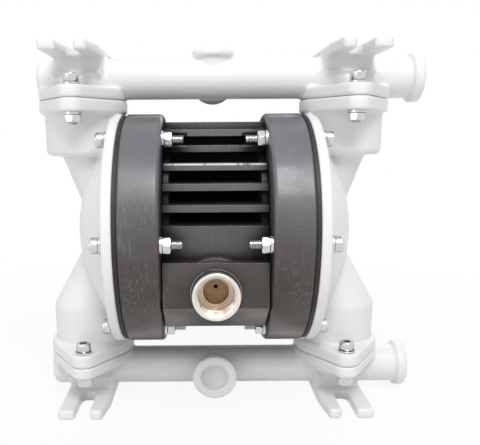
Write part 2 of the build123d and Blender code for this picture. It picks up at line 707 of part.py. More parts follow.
def main():
    os.makedirs("parts", exist_ok=True)

    save("centre_block", centre_block())
    save_pair("air_chamber", air_chamber())
    save_pair("chamber_gasket", chamber_gasket())
    screw = socket_screw(CHAMBER_SCREW)
    inner = [along_x(screw, chamber_screw_seat(), y, z) for y, z in chamber_screw_places()]
    save("chamber_screws", *both_sides(inner))
    save_pair("diaphragm", diaphragm())
    save_pair("fluid_cover", fluid_cover())

    spots = around(BOLT_CIRCLE_R)
    bolt = socket_screw(BODY_BOLT)
    save_pair("cover_bolts", *[along_x(bolt, flange_face, y, z) for y, z in spots])
    save("cover_washers", *both_sides([along_x(washer(), chamber_back, y, z) for y, z in spots]))
    nut_seat = chamber_back - WASHER
    save_pair("cover_nuts", *[along_x(hex_nut(), nut_seat, y, z) for y, z in spots])

    top = manifold()
    save("outlet_manifold", top)
    save("inlet_manifold", Rot(180, 0, 0) * top)
    corners = [(x, y) for x in (-TOWER_X, TOWER_X) for y in (-TAB_BOLT_Y, TAB_BOLT_Y)]
    bolt = socket_screw(MANIFOLD_BOLT)
    for name, seat, under in (("outlet", tab_top, tab_under), ("inlet", -tab_under, -tab_top)):
        save(f"{name}_manifold_bolts", *[Pos(x, y, seat) * bolt for x, y in corners])
        save(f"{name}_manifold_nuts", *[Pos(x, y, under - WASHER) * hex_nut() for x, y in corners])
    washers = [Pos(x, y, z) * washer() for x, y in corners for z in (tab_under, -tab_top)]
    save("manifold_washers", *washers)

    stack_feet = (("outlet", ledge), ("inlet", -SPLIT_Z - SEAT_SUNK))
    for name, bottom in stack_feet:
        seat_top = bottom + SEAT_HEIGHT
        save_pair(f"{name}_seat", Pos(TOWER_X, 0, bottom) * valve_seat())
        save_pair(f"{name}_ball_cage", Pos(TOWER_X, 0, seat_top) * ball_cage())
        save_pair(f"{name}_ball", Pos(TOWER_X, 0, seat_top + ball_rest) * Sphere(BALL_R))
    rings = [Pos(TOWER_X, 0, bottom) * seat_ring() for _, bottom in stack_feet]
    save("seat_rings", *both_sides(rings))

    save("diaphragm_shaft", shaft())
    save_pair("air_plate", air_plate())
    save_pair("fluid_plate", fluid_plate())
    save_pair("plate_screw", plate_screw())
    bush = bar_x(BUSH_R, bush_start, seal_start) - bar_x(SHAFT_R + SHAFT_RUNNING, 0, BLOCK_HALF)
    save_pair("shaft_bush", bush)
    seal = bar_x(BUSH_R, seal_start, BLOCK_HALF) - bar_x(SHAFT_R + SHAFT_RUNNING, 0, DISC_R)
    save_pair("shaft_seal", seal)
    save_pair("pilot_pin", bar_x(PIN_R, pin_start, pin_tip, 0, PIN_Z))

    save("exhaust_insert", exhaust_insert())
    save("valve_gasket", valve_gasket())
    save("valve_housing", valve_housing())
    save("valve_spool", valve_spool())
    save("spool_rings", *spool_rings())
    save("inlet_insert", inlet_insert())
    screw = Rot(-90, 0, 0) * socket_screw(VALVE_SCREW)
    seat_y = valve_face + VALVE_BASE
    save("valve_screws", *[Pos(x, seat_y, z) * screw for x, z in valve_screw_places()])
    upper_cap = Pos(0, spool_y, VALVE_TOP) * end_cap()
    lower_cap = Pos(0, spool_y, VALVE_BOTTOM) * Rot(180, 0, 0) * end_cap()
    save("upper_valve_cap", upper_cap)
    save("lower_valve_cap", lower_cap)
    small = socket_screw(CAP_SCREW_LENGTH, CAP_SCREW_R)
    places = (-CAP_SCREW_X, CAP_SCREW_X)
    up = [Pos(x, spool_y, VALVE_TOP + CAP_THICK) * small for x in places]
    down = [Pos(x, spool_y, VALVE_BOTTOM - CAP_THICK) * Rot(180, 0, 0) * small for x in places]
    save("valve_cap_screws", *up, *down)


main()
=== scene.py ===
# %% [markdown]
# # An air operated diaphragm pump, dressed for a studio picture
#
# The pump arrives as plain engineering solids. This lesson gives each of them the surface
# that the real one has: soft moulded polypropylene, scuffed black polymer, bright stainless
# fasteners with real threads, and a stained metal port. The first cell loads the solids.

# %% Load the pump
import bpy
import bmesh
import json
import math
import numpy as np
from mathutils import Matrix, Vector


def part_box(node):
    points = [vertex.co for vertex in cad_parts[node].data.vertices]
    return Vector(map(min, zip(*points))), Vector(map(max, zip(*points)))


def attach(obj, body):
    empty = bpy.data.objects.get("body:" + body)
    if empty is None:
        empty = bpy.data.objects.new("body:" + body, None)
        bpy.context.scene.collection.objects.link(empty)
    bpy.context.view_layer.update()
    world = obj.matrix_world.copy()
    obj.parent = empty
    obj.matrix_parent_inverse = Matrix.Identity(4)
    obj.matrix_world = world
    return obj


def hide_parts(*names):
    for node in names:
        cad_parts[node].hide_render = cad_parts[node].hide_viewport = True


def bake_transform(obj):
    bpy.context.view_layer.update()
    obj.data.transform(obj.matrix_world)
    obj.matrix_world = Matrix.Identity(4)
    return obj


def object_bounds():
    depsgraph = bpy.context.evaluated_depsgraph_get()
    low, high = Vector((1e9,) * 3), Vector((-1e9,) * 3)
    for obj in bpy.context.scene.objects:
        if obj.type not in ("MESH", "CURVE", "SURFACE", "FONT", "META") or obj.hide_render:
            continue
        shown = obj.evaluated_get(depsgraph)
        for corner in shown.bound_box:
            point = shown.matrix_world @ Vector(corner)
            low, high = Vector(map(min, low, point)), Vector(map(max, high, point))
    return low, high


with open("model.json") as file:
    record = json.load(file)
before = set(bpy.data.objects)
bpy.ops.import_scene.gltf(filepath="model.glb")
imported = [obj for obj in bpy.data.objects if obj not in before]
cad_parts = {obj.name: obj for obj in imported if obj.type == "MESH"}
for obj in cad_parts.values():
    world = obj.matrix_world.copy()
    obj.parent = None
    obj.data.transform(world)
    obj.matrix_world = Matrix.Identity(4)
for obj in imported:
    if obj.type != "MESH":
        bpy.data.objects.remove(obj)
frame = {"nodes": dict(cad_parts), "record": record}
cad_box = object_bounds()
MM = 0.001

# %% [markdown]
# Later cells need a few places on the pump. They are read off the solids, so that a new
# size of pump needs few new numbers here.

# %% Where things are


def extent(node):
    """Lowest and highest corner of a node as arrays, in metres."""
    return tuple(np.array(corner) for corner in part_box(node))


def middle(node):
    """Middle of a node's box."""
    low, high = extent(node)
    return (low + high) / 2


axis_height = float(middle("diaphragm_shaft")[2])
print("shaft axis at", round(axis_height / MM, 1), "mm")

# %% [markdown]
# New pieces are stacks of rings. Each ring is one turn of points, and neighbouring rings are
# joined by quads, so a screw, a nut or a threaded bush is only a table of rings. A shell is
# a triple: the points, the quads, and the flat caps that close its ends.

# %% From rings to a mesh
COLUMNS = 72
SHARP = 38.0
turn = np.arange(COLUMNS) * 2 * math.pi / COLUMNS


def ring(radius, height, across=(0.0, 0.0)):
    """One turn of points: (r cos a + cx, r sin a + cy, z). The radius may follow the angle."""
    x = radius * np.cos(turn) + across[0]
    y = radius * np.sin(turn) + across[1]
    return np.stack([x, y, np.zeros(COLUMNS) + height], -1)


def stack(rings, loop=False):
    """Join rings into a shell: a loop is closed onto itself, any other stack gets two caps."""
    points = np.stack(rings)
    rows = len(points)
    row = np.arange(rows if loop else rows - 1)[:, None]
    after_row = (row + 1) % rows
    column = np.arange(COLUMNS)[None, :]
    after = (column + 1) % COLUMNS
    corners = [row * COLUMNS + column, row * COLUMNS + after]
    corners += [after_row * COLUMNS + after, after_row * COLUMNS + column]
    quads = np.stack([c + 0 * row for c in corners], -1).reshape(-1, 4)
    first = np.arange(COLUMNS)
    caps = [] if loop else [first[::-1], first + (rows - 1) * COLUMNS]
    return points.reshape(-1, 3), quads, caps


def place(shell, turned, at):
    """A shell turned by a 3 by 3 matrix and moved, from millimetres to metres."""
    points, quads, caps = shell
    return (points @ np.array(turned, float).T + np.array(at, float)) * MM, quads, caps


def smooth_shade(mesh):
    """Shade a mesh smooth, but keep its edges that are sharper than SHARP degrees."""
    mesh.polygons.foreach_set("use_smooth", np.ones(len(mesh.polygons), bool))
    mesh.set_sharp_from_angle(angle=math.radians(SHARP))


def make_piece(name, shells):
    """One object from several shells."""
    points, faces, count = [], [], 0
    for shell_points, quads, caps in shells:
        points.append(shell_points)
        faces += (quads + count).tolist() + [(cap + count).tolist() for cap in caps]
        count += len(shell_points)
    mesh = bpy.data.meshes.new(name)
    mesh.from_pydata(np.vstack(points).tolist(), [], faces)
    smooth_shade(mesh)
    piece = bpy.data.objects.new(name, mesh)
    bpy.context.collection.objects.link(piece)
    return piece


print("a ring has", len(ring(1.0, 0.0)), "points")

# %% [markdown]
# Shader maths reads best as Python. A small class wraps a socket, and adding, multiplying
# or raising it to a power adds the Math node that does so. A finish is a Principled
# material with one method that makes any other node.

# %% Shader maths as expressions


class Shade:
    """One output socket of a material. Arithmetic on it adds Math nodes."""

    def __init__(self, finish, socket):
        self.finish, self.socket = finish, socket

    def _math(self, operation, first, second):
        return self.finish.add("ShaderNodeMath", {"operation": operation}, {0: first, 1: second})

    def __add__(self, other):
        return self._math("ADD", self, other)

    def __mul__(self, other):
        return self._math("MULTIPLY", self, other)

    def __sub__(self, other):
        return self._math("SUBTRACT", self, other)

    def __rsub__(self, other):
        return self._math("SUBTRACT", other, self)

    def __pow__(self, other):
        return self._math("POWER", self, other)

    def above(self, low, high):
        """0 below low, 1 above high, and a smooth step between."""
        settings = {"interpolation_type": "SMOOTHSTEP"}
        inputs = {"Value": self, "From Min": low, "From Max": high}
        return self.finish.add("ShaderNodeMapRange", settings, inputs)

    __radd__, __rmul__ = __add__, __mul__


class Finish:
    """A Principled material and the nodes that feed it."""

    def __init__(self, name, **constants):
        self.material = bpy.data.materials.new(name)
        self.material.use_nodes = True
        self.tree = self.material.node_tree
        self.shader = self.tree.nodes["Principled BSDF"]
        for socket, value in constants.items():
            self.shader.inputs[socket.replace("_", " ")].default_value = value
        self.place = self.add("ShaderNodeTexCoord", {}, {}, "Object")

    def add(self, kind, settings, inputs, output=0):
        """A node of that kind, its settings, and the values or links of its sockets."""
        node = self.tree.nodes.new(kind)
        for key, value in settings.items():
            setattr(node, key, value)
        for key, value in inputs.items():
            self.feed(node.inputs[key], value)
        return Shade(self, node.outputs[output])

    def feed(self, socket, value):
        """Link a shade into a socket, or set the socket to a constant."""
        if isinstance(value, Shade):
            self.tree.links.new(value.socket, socket)
        else:
            socket.default_value = value

    def noise(self, scale, detail=3.0, roughness=0.55, stretch=None, rotate=(0, 0, 0)):
        """Cloudy noise from 0 to 1, in blots per metre; stretch draws the blots into streaks."""
        place = self.place
        if stretch:
            inputs = {"Vector": place, "Rotation": rotate, "Scale": stretch}
            place = self.add("ShaderNodeMapping", {}, inputs)
        inputs = {"Vector": place, "Scale": scale, "Detail": detail, "Roughness": roughness}
        return self.add("ShaderNodeTexNoise", {}, inputs, 0)

    def specks(self, scale, size):
        """Sparse round specks: 1 inside a speck, 0 outside."""
        near = self.add("ShaderNodeTexVoronoi", {}, {"Vector": self.place, "Scale": scale}, 0)
        return 1 - near.above(size * 0.5, size)

    def mix(self, factor, first, second):
        """Colour between two colours."""
        inputs = {"Factor": factor, 6: first, 7: second}
        return self.add("ShaderNodeMix", {"data_type": "RGBA"}, inputs, 2)

    def along(self, axis):
        """One coordinate of the surface, in metres."""
        return self.add("ShaderNodeSeparateXYZ", {}, {0: self.place}, axis)

    def rounded(self, radius):
        """The normal as it would be with every edge rounded to that radius."""
        return self.add("ShaderNodeBevel", {"samples": 6}, {"Radius": radius})

    def edges(self, radius):
        """1 along edges, 0 on flats: how far the rounded normal turns from the true one."""
        plain = self.add("ShaderNodeNewGeometry", {}, {}, "Normal")
        inputs = {0: self.rounded(radius), 1: plain}
        same = self.add("ShaderNodeVectorMath", {"operation": "DOT_PRODUCT"}, inputs, 1)
        return (1 - same).above(0.01, 0.22)

    def open_air(self, distance):
        """1 in the open, 0 deep in a gap that is narrower than the distance."""
        return self.add("ShaderNodeAmbientOcclusion", {"samples": 8}, {"Distance": distance}, "AO")

    def color(self, value):
        self.feed(self.shader.inputs["Base Color"], value)

    def roughness(self, value):
        self.feed(self.shader.inputs["Roughness"], value)

    def bump(self, height, distance, strength=1.0, normal=None):
        """Small relief of that height in metres, on top of a normal where one is given."""
        inputs = {"Height": height, "Distance": distance, "Strength": strength}
        if normal is not None:
            inputs["Normal"] = normal
        self.feed(self.shader.inputs["Normal"], self.add("ShaderNodeBump", {}, inputs))


# %% [markdown]
# The covers and pipes are injection moulded polypropylene, nearly white and a little
# translucent. A flat white looks like plaster, so the finish has a faint cloudy tone, a
# satin gloss that varies, and a very fine orange-peel in the surface. Blots of grime lie on
# it, and corners get painted shade, darker the more closed in they are.

# %% Moulded polypropylene


def white_polypropylene():
    """Cloudy near-white, with blots of grime, painted shade in corners and a fine orange-peel."""
    inside = {"Subsurface_Weight": 0.06, "Subsurface_Scale": 0.004}
    finish = Finish("white_polypropylene", IOR=1.49, **inside)
    tone = finish.mix(finish.noise(28.0, 4.0), (0.785, 0.785, 0.775, 1), (0.82, 0.825, 0.83, 1))
    grime = finish.noise(150.0, 5.0, 0.7).above(0.58, 0.80)
    # painted shade: corners darkened by ambient occlusion, towards the same brownish grey as the
    # grime
    painted_corner_shade = 1 - finish.open_air(0.006).above(0.2, 1.0)
    finish.color(finish.mix(grime * 0.14 + painted_corner_shade * 0.16, tone, (0.50, 0.485, 0.455, 1)))
    finish.roughness(finish.noise(90.0, 3.0) * 0.16 + 0.32)
    finish.bump(finish.noise(700.0, 3.0), 0.00012, 0.5)
    return finish.material


WHITE = white_polypropylene()
print(WHITE.name, len(WHITE.node_tree.nodes), "nodes")

# %% [markdown]
# The air section is a dark filled polymer. Its upper half is painted lighter and bluish and its
# lower half darker and brownish, as painted light from above and painted shade below. Handling
# has left pale scuffs in streaks, and specks of dust cling to it. Edges are painted lighter,
# partly as rubbed wear and partly as painted highlight. Deep between the ribs it is painted dead
# black, as painted shade; how closed in a point is comes from ambient occlusion.
#
# The rib that steps forward has a rounded upper edge, along which a bright highlight is painted.

# %% Scuffed black polymer
TREAD_HEIGHT, TREAD_FRONT, BLOCK_HALF = 0.0484, -0.0480, 0.0330
STEP_FRONT, TUBE_R = -0.0710, 0.0156
port_height = float(middle("exhaust_insert")[2])


def painted_tread_highlight(finish):
    """1 on the painted highlight along the rib's upper edge, with breaks in it, and 0 elsewhere.
    """
    height, front, across = (finish.along(axis) for axis in "ZYX")
    top = axis_height + TREAD_HEIGHT
    # painted highlight: a bright line along the rib's rounded upper edge
    line = height.above(top - 0.0015, top - 0.0009) * (1 - height.above(top, top + 0.0003))
    line = line * (1 - front.above(TREAD_FRONT + 0.0010, TREAD_FRONT + 0.0022))
    line = line * (1 - (across * across).above(0.94 * BLOCK_HALF**2, BLOCK_HALF**2))
    breaks = finish.noise(90.0, 4.0, 0.7, (1.0, 0.2, 0.2)).above(0.40, 0.50)
    fades = finish.noise(22.0, 1.0, 0.5, (1.0, 0.2, 0.2)).above(0.25, 0.45)
    return line * breaks * fades


def boss_line(finish):
    """1 on a thin bright ring at the root of the port's tube, and 0 elsewhere."""
    rise, across = finish.along("Z") - port_height, finish.along("X")
    from_middle = (rise * rise + across * across) ** 0.5
    line = from_middle.above(TUBE_R, TUBE_R + 0.0002)
    line = line * (1 - from_middle.above(TUBE_R + 0.0005, TUBE_R + 0.0009))
    front = finish.along("Y")
    line = line * (1 - front.above(STEP_FRONT + 0.0002, STEP_FRONT + 0.0006))
    return line * (finish.noise(110.0, 4.0, 0.7).above(0.38, 0.52) * 0.8 + 0.2)


def black_polymer():
    """Painted light and shade by height, marks, wear with painted edge highlight, dust, painted
    highlights, and painted shade in deep gaps.
    """
    finish = Finish("black_polymer", IOR=1.52, Coat_Roughness=0.16)
    # painted light and shade: lighter and bluish above the shaft, darker and brownish below
    high = finish.along("Z").above(axis_height - 0.035, axis_height + 0.055)
    drift = finish.noise(16.0, 3.0)
    painted_shaded_tone = finish.mix(drift, (0.027, 0.016, 0.011, 1), (0.042, 0.028, 0.021, 1))
    painted_lit_tone = finish.mix(drift, (0.090, 0.094, 0.102, 1), (0.124, 0.129, 0.139, 1))
    base = finish.mix(high, painted_shaded_tone, painted_lit_tone)
    patches = finish.noise(26.0, 4.0).above(0.42, 0.62)
    upright = finish.noise(75.0, 4.0, 0.65, (9.0, 9.0, 1.0)).above(0.48, 0.66)
    slanted = finish.noise(48.0, 2.0, 0.6, (1.0, 14.0, 14.0), (0.4, 0.2, 1.1)).above(0.66, 0.70)
    marks = (upright * 0.7 + slanted * 0.3) * patches
    # edge wear, and also a painted highlight along every edge
    wear_and_edge_highlight = finish.edges(0.0009) * (finish.noise(260.0, 4.0).above(0.42, 0.60) * 0.8 + 0.2)
    dust = finish.specks(420.0, 0.13) * finish.noise(55.0, 2.0).above(0.48, 0.60)
    pale = marks * 0.30 + wear_and_edge_highlight * 0.55 + dust * 0.8
    scuffed_and_painted_light = finish.mix(pale.above(-0.1, 1.2), base, (0.42, 0.43, 0.45, 1))
    # painted highlight along the rib's edge, and a thin bright ring at the port's root
    shine = painted_tread_highlight(finish) + boss_line(finish) * 0.7
    scuffed_and_painted_light = finish.mix(shine, scuffed_and_painted_light, (0.80, 0.82, 0.86, 1))
    # painted shade: near black deep in gaps, from ambient occlusion
    shade = finish.open_air(0.030).above(0.40, 0.78)
    finish.color(finish.mix(shade, (0.0008, 0.0008, 0.0010, 1), scuffed_and_painted_light))
    finish.roughness(finish.noise(60.0, 4.0) * 0.22 + 0.27 + (1 - shade) * 0.6)
    coat = shade * finish.noise(35.0, 3.0).above(0.30, 0.70) * 0.5
    finish.feed(finish.shader.inputs["Coat Weight"], coat)
    finish.bump(finish.noise(900.0, 3.0) - marks * 0.6, 0.00010, 0.7, finish.rounded(0.0006))
    return finish.material


BLACK = black_polymer()
print(BLACK.name, len(BLACK.node_tree.nodes), "nodes")

# %% [markdown]
# Fasteners are stainless. Metal is all reflection, so its finish is mainly roughness: fine
# turning lines and a slightly uneven polish. The roots of threads and the sockets get painted
# shade.

# %% Metals, rubber and small polymer pieces


def stainless():
    """Bright metal with painted shade in thread roots and sockets."""
    finish = Finish("stainless", Metallic=1.0)
    tone = finish.mix(finish.noise(300.0), (0.56, 0.55, 0.53, 1), (0.74, 0.735, 0.72, 1))
    # painted shade in thread roots and sockets
    shade = finish.open_air(0.0012).above(0.30, 0.85)
    finish.color(finish.mix(shade, (0.09, 0.085, 0.08, 1), tone))
    finish.roughness(finish.noise(700.0, 4.0) * 0.22 + 0.12)
    finish.bump(finish.noise(1800.0, 2.0), 0.00004, 0.5)
    return finish.material


def plain(name, metal, first, second, rough):
    """A quiet finish that wanders between two colours."""
    finish = Finish(name, Metallic=metal)
    finish.color(finish.mix(finish.noise(120.0, 4.0), first, second))
    finish.roughness(finish.noise(420.0, 4.0) * 0.2 + rough)
    finish.bump(finish.noise(1300.0, 2.0), 0.00004, 0.5)
    return finish.material


STEEL = stainless()
ALUMINIUM = plain("plate_aluminium", 1.0, (0.66, 0.66, 0.67, 1), (0.78, 0.78, 0.78, 1), 0.28)
RUBBER = plain("black_rubber", 0.0, (0.010, 0.010, 0.011, 1), (0.022, 0.021, 0.020, 1), 0.45)
BEARING = plain("bearing_polymer", 0.0, (0.50, 0.42, 0.26, 1), (0.60, 0.52, 0.34, 1), 0.40)
BALL = plain("ball_polymer", 0.0, (0.78, 0.77, 0.74, 1), (0.86, 0.86, 0.84, 1), 0.25)
print("five quiet finishes")

# %% [markdown]
# The exhaust insert is nickel plated outside. Inside, oil and damp air have stained it
# brown, more the deeper one looks, so its colour follows the distance from its mouth.

# %% Stained nickel
insert_low, insert_high = extent("exhaust_insert")


def stained_nickel():
    """Clean at the mouth, tan behind it and brown at the floor, with a ragged border."""
    finish = Finish("nickel_insert")
    depth = finish.along("Y") - float(insert_low[1])
    blots = finish.noise(170.0, 5.0, 0.65)
    reached = depth + (blots - 0.5) * 0.014
    tint = reached.above(0.002, 0.012)
    stain = reached.above(0.011, 0.020)
    clean = finish.mix(finish.noise(240.0), (0.74, 0.70, 0.65, 1), (0.90, 0.87, 0.83, 1))
    tan = finish.mix(blots, (0.58, 0.46, 0.34, 1), (0.84, 0.77, 0.68, 1))
    brown = finish.mix(blots, (0.33, 0.18, 0.08, 1), (0.60, 0.41, 0.24, 1))
    finish.color(finish.mix(stain, finish.mix(tint, clean, tan), brown))
    finish.feed(finish.shader.inputs["Metallic"], 0.85 - stain * 0.55)
    finish.roughness(stain * 0.2 + finish.noise(600.0) * 0.2 + 0.25)
    finish.bump(blots, 0.00012, 0.5)
    return finish.material


NICKEL = stained_nickel()
FINISHES = {
    "white_polypropylene": WHITE,
    "black_polymer": BLACK,
    "stainless_steel": STEEL,
    "plate_aluminium": ALUMINIUM,
    "black_rubber": RUBBER,
    "bearing_polymer": BEARING,
    "ball_polymer": BALL,
    "nickel_insert": NICKEL,
}
slot_of = {part["node"]: part["material_slot"] for part in frame["record"]["subparts"]}
bodies = frame["record"]["behaviour"]["bodies"]
body_of = {node: body for body, nodes in bodies.items() for node in nodes}
for node, solid in frame["nodes"].items():
    solid.data.materials.clear()
    solid.data.materials.append(FINISHES[slot_of[node]])
print("finished", len(slot_of), "solids")

# %% [markdown]
# A piece that stands for a solid rides on that solid's body and takes its finish.

# %% Stand in for a solid


def stand_for(piece, node):
    """piece takes the place, body, slot and finish of this node."""
    piece.data.materials.clear()
    piece.data.materials.append(FINISHES[slot_of[node]])
    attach(piece, body_of[node])
    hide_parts(node)
    return piece


# %% [markdown]
# The real covers and pipes have no sharp inside corner: where the tower runs into the dome,
# or the pipe into its flange, the mould leaves a soft radius. Joining the forms and adding a
# fillet to each seam fails where seams cross. A voxel remesh takes all of them at once: the
# solid is rebuilt as an even skin of small squares, and a few rounds of smoothing melt the
# seams into each other while the large forms stay. Thinning then removes squares from flats.

# %% Soft moulded skins
SKIN_STEP = 0.85 * MM
MOST_TRIANGLES = 170000
COVER_ROUNDS, MANIFOLD_ROUNDS = 9, 12


def merged_copy(node):
    """A copy of a solid whose loose triangles are merged."""
    copy = frame["nodes"][node].data.copy()
    shell = bmesh.new()
    shell.from_mesh(copy)
    bmesh.ops.remove_doubles(shell, verts=shell.verts, dist=1e-6)
    shell.to_mesh(copy)
    shell.free()
    piece = bpy.data.objects.new(node + "_skin", copy)
    bpy.context.collection.objects.link(piece)
    return piece


def bake_modifiers(piece):
    """Turn the modified form into the piece's own mesh."""
    evaluated = piece.evaluated_get(bpy.context.evaluated_depsgraph_get())
    piece.data = bpy.data.meshes.new_from_object(evaluated)
    piece.data.name = piece.name
    piece.modifiers.clear()


def cut(piece, name, shells):
    """Take closed shells, given in millimetres, away from a piece."""
    tool = make_piece(name, [place(shell, np.eye(3), (0, 0, 0)) for shell in shells])
    away = piece.modifiers.new(name, "BOOLEAN")
    away.operation, away.solver, away.object = "DIFFERENCE", "EXACT", tool
    bake_modifiers(piece)
    bpy.data.objects.remove(tool)


def moulded_skin(node, step, rounds, cuts=()):
    """Copy of a solid as an even skin with melted seams."""
    piece = merged_copy(node)
    for number, shells in enumerate(cuts):
        cut(piece, f"cut_{number}", shells)
    remesh = piece.modifiers.new("even", "REMESH")
    remesh.mode, remesh.voxel_size, remesh.use_smooth_shade = "VOXEL", step, True
    soften = piece.modifiers.new("soften", "SMOOTH")
    soften.factor, soften.iterations = 0.5, rounds
    bake_modifiers(piece)
    thin = piece.modifiers.new("thin", "DECIMATE")
    thin.ratio = min(1.0, MOST_TRIANGLES / (2 * len(piece.data.polygons)))
    bake_modifiers(piece)
    return stand_for(piece, node)


for side in ("left", "right"):
    skin = moulded_skin(f"{side}_fluid_cover", SKIN_STEP, COVER_ROUNDS)
    print(skin.name, len(skin.data.polygons), "faces")

# %% [markdown]
# In the photograph the slots of the feet run deep, nearly to the pad, and the pad is short.
# The pipes get that depth here. A slot is a circle of points of which the outer half is
# moved out, which makes a long hole with a round end; a pad's end is trimmed by a box.

# %% Deeper slots in the feet
FOOT, PAD_TOP = 6.8, 16.6
SLOT_R, SLOT_FROM, SLOT_TO = 5.0, 29.0, 45.0
PAD_HALF, PAD_FROM, PAD_TO = 17.0, 16.0, 27.0
HEAD_R = 5.0  # of a screw's head


def slot_shell(x, face, low, high):
    """A long hole with a round inner end, from SLOT_FROM to SLOT_TO on the front or back."""
    points, quads, caps = stack([ring(SLOT_R, low), ring(SLOT_R, high)])
    outer = points[:, 1] * face > 0
    points = points + np.array([x, face * SLOT_FROM, 0])
    points[:, 1] += np.where(outer, face * (SLOT_TO - SLOT_FROM), 0)
    return points, quads, caps


def box_shell(low, high):
    """A box between two corners, as a stack of two rings pressed square."""
    points, quads, caps = stack([ring(1, 0), ring(1, 1)])
    reach = np.abs(points[:, :2]).max(1, keepdims=True)
    unit = np.hstack([points[:, :2] / reach * 0.5 + 0.5, points[:, 2:]])
    return np.array(low) + unit * (np.array(high) - np.array(low)), quads, caps


tower_x = (extent("outlet_manifold_bolts")[1][0] / MM) - HEAD_R
pump_height = cad_box[1][2] / MM
for level in ("outlet", "inlet"):
    slots, pads = [], []
    for x, face in ((x, face) for x in (-tower_x, tower_x) for face in (-1, 1)):
        slot_z, pad_z = np.array([-1.0, PAD_TOP]), np.array([FOOT, PAD_TOP])
        if level == "outlet":
            slot_z, pad_z = pump_height - slot_z[::-1], pump_height - pad_z[::-1]
        slots.append(slot_shell(x, face, *slot_z))
        y_low, y_high = sorted((face * PAD_FROM, face * PAD_TO))
        corner = (x - PAD_HALF, y_low, pad_z[0]), (x + PAD_HALF, y_high, pad_z[1])
        pads.append(box_shell(*corner))
    skin = moulded_skin(f"{level}_manifold", SKIN_STEP, MANIFOLD_ROUNDS, (pads, slots))
    print(skin.name, len(skin.data.polygons), "faces")

# %% [markdown]
# A screw thread is a groove that climbs one pitch in each turn. On a stack of rings that is
# a radius of height and angle together: r = core + depth * tooth(z / pitch - a / 2 pi), where
# tooth is a trapezium of period 1. The same line cuts a thread in a hole.

# %% Screws and nuts with threads
SCREW_R, HEAD, SOCKET_R, SOCKET = 3.0, 6.0, 2.9, 3.0
WASHER_R, WASHER = 5.8, 1.4
PITCH, THREAD_DEPTH = 1.0, 0.61


def tooth(height, pitch):
    """Trapezium wave of height over pitch minus the angle: 1 on a crest, 0 in a root."""
    phase = (height[:, None] / pitch - turn[None, :] / (2 * math.pi)) % 1.0
    return np.clip(2.6 * (1 - np.abs(2 * phase - 1)) - 0.8, 0.0, 1.0)


def threaded(core, crest, start, end, pitch):
    """Rings of a thread from one height to another; it runs out at both ends."""
    height = np.arange(start, end, math.copysign(pitch / 9, end - start))
    runout = np.minimum(abs(height - start), abs(height - end)) / (pitch / 2)
    radius = core + (crest - core) * tooth(height, pitch) * np.clip(runout, 0, 1)[:, None]
    return [ring(r, z) for r, z in zip(radius, height)]


def hexagon(flats):
    """Radius, as it goes round, of a hexagon that is so wide across its flats."""
    return flats / 2 / np.cos(turn % (math.pi / 3) - math.pi / 6)


def socket_screw(length, thread):
    """Socket head cap screw with a knurled head, on a washer that bears at height 0."""
    core = SCREW_R - THREAD_DEPTH
    knurl = HEAD_R - 0.14 * (np.arange(COLUMNS) % 2)
    socket = hexagon(2 * SOCKET_R * math.cos(math.pi / 6))
    rings = [ring(core - 0.3, -length)]
    rings += threaded(core, SCREW_R, 0.1 - length, thread - length, PITCH)
    rings += [ring(SCREW_R, thread - length), ring(SCREW_R, 0), ring(WASHER_R, 0)]
    rings += [ring(WASHER_R, WASHER - 0.15), ring(WASHER_R - 0.15, WASHER)]
    rings += [ring(HEAD_R - 0.3, WASHER), ring(knurl, WASHER + 0.3)]
    top = WASHER + HEAD
    rings += [ring(knurl, top - 1.3), ring(HEAD_R - 0.1, top - 1.0)]
    rings += [ring(HEAD_R - 0.25, top - 0.5), ring(HEAD_R - 0.7, top - 0.08)]
    rings += [ring(HEAD_R - 0.9, top), ring(SOCKET_R + 0.3, top)]
    rings += [ring(socket, top - 0.35), ring(socket, top - SOCKET)]
    return stack(rings)


def hex_nut(flats, height, hole):
    """Nut with both ends turned down at its corners; it hangs down from height 0."""
    corner = hexagon(flats)
    ends = np.minimum(corner, flats / 2 - 0.1)
    cone = np.minimum(corner, flats / 2 + 0.35)
    rings = [ring(hole, -0.4), ring(hole, 0.5 - height), ring(hole + 0.6, -height)]
    rings += [ring(ends, -height), ring(cone, 0.25 - height), ring(corner, 0.7 - height)]
    rings += [ring(corner, -0.7), ring(cone, -0.25), ring(ends, 0), ring(hole + 0.4, 0)]
    return stack(rings, loop=True)


print("screw of", len(socket_screw(50.0, 18.0)[0]), "points")

# %% [markdown]
# The screws go back where the solids have them. A turn matrix lays a screw along the shaft,
# and each nut keeps the angle at which it happened to come tight.

# %% Put the fasteners on
ALONG_X = np.array([[0, 0, 1], [0, 1, 0], [-1, 0, 0]], float)
HALF_TURN = np.diag([-1.0, -1.0, 1.0])
BOLT_THREAD, TAB_THREAD = 18.0, 12.0
NUT_FLATS, NUT = 10.0, 5.2
chance = np.random.default_rng(11)


def spin(angle):
    """Turn about Z."""
    c, s = math.cos(angle), math.sin(angle)
    return np.array([[c, -s, 0], [s, c, 0], [0, 0, 1]])


